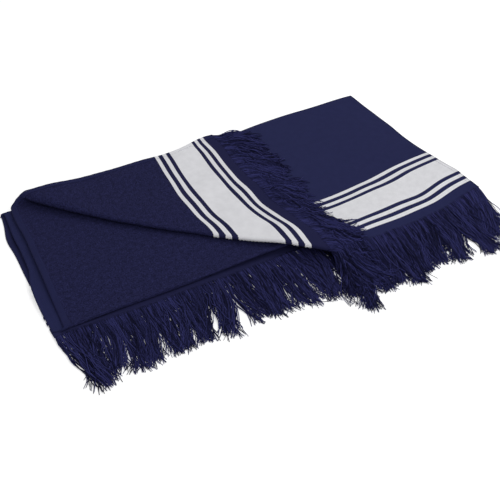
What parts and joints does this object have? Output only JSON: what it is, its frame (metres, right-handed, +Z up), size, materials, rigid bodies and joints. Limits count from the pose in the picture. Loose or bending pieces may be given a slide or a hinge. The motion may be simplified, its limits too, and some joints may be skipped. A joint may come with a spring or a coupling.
{
  "type": "quick dry towel",
  "caption": "Fringed hammam towel, flat-woven on one face and terry on the other, with striped bands near its ends, folded in layers with one corner turned back.",
  "frame": {"origin": "on the ground under the middle of the folded towel's outline", "axes": "+X along the towel's width, towards the side away from the turned corner; +Y from the fringed front to the back folds; +Z up"},
  "size_m": [0.94, 0.6218, 0.0373],
  "materials": {
    "navy_flat_weave": "matt flat weave",
    "navy_terry": "matt looped pile",
    "white_weave": "matt flat weave",
    "fringe_yarn": "loose cotton yarn",
    "hem_thread": "sewing thread"
  },
  "bodies": {
    "folded_towel": {"bottom_end_strip": "navy_flat_weave", "bottom_fringe": "fringe_yarn", "bottom_layer": "navy_terry", "bottom_layer_left_hem": "navy_flat_weave", "bottom_layer_left_hem_thread": "hem_thread", "bottom_layer_right_hem": "navy_flat_weave", "bottom_layer_right_hem_thread": "hem_thread", "bottom_navy_line_1": "navy_flat_weave", "bottom_navy_line_2": "navy_flat_weave", "bottom_navy_line_3": "navy_flat_weave", "bottom_navy_line_4": "navy_flat_weave", "bottom_white_stripe_1": "white_weave", "bottom_white_stripe_2": "white_weave", "bottom_white_stripe_3": "white_weave", "bottom_white_stripe_4": "white_weave", "bottom_wide_white_band": "white_weave", "corner_roll": "navy_flat_weave", "front_fold": "navy_terry", "lower_back_fold": "navy_flat_weave", "second_layer": "navy_terry", "second_layer_left_hem": "navy_flat_weave", "second_layer_left_hem_thread": "hem_thread", "second_layer_right_hem": "navy_flat_weave", "second_layer_right_hem_thread": "hem_thread", "third_layer": "navy_flat_weave", "third_layer_left_hem": "navy_flat_weave", "third_layer_left_hem_thread": "hem_thread", "third_layer_right_hem": "navy_flat_weave", "third_layer_right_hem_thread": "hem_thread", "top_end_strip": "navy_flat_weave", "top_fringe": "fringe_yarn", "top_layer": "navy_flat_weave", "top_layer_right_hem": "navy_flat_weave", "top_layer_right_hem_thread": "hem_thread", "top_navy_line_1": "navy_flat_weave", "top_navy_line_2": "navy_flat_weave", "top_navy_line_3": "navy_flat_weave", "top_navy_line_4": "navy_flat_weave", "top_white_stripe_1": "white_weave", "top_white_stripe_2": "white_weave", "top_white_stripe_3": "white_weave", "top_white_stripe_4": "white_weave", "top_wide_white_band": "white_weave", "upper_back_fold": "navy_flat_weave"},
    "turned_corner": {"corner_end_strip": "navy_flat_weave", "corner_flap": "navy_terry", "corner_fringe": "fringe_yarn", "corner_hem": "navy_flat_weave", "corner_hem_thread": "hem_thread", "corner_navy_line_1": "navy_flat_weave", "corner_navy_line_2": "navy_flat_weave", "corner_navy_line_3": "navy_flat_weave", "corner_navy_line_4": "navy_flat_weave", "corner_white_stripe_1": "white_weave", "corner_white_stripe_2": "white_weave", "corner_white_stripe_3": "white_weave", "corner_white_stripe_4": "white_weave", "corner_wide_white_band": "white_weave"}
  },
  "joints": [
    {"name": "corner_turn", "type": "hinge", "parent": "folded_towel", "child": "turned_corner", "pos_m": [-0.43, 0.30509, 0.0295], "axis": [0.7071, -0.7071, 0], "range_deg": [0, 178], "deforming": ["corner_roll"]}
  ]
}
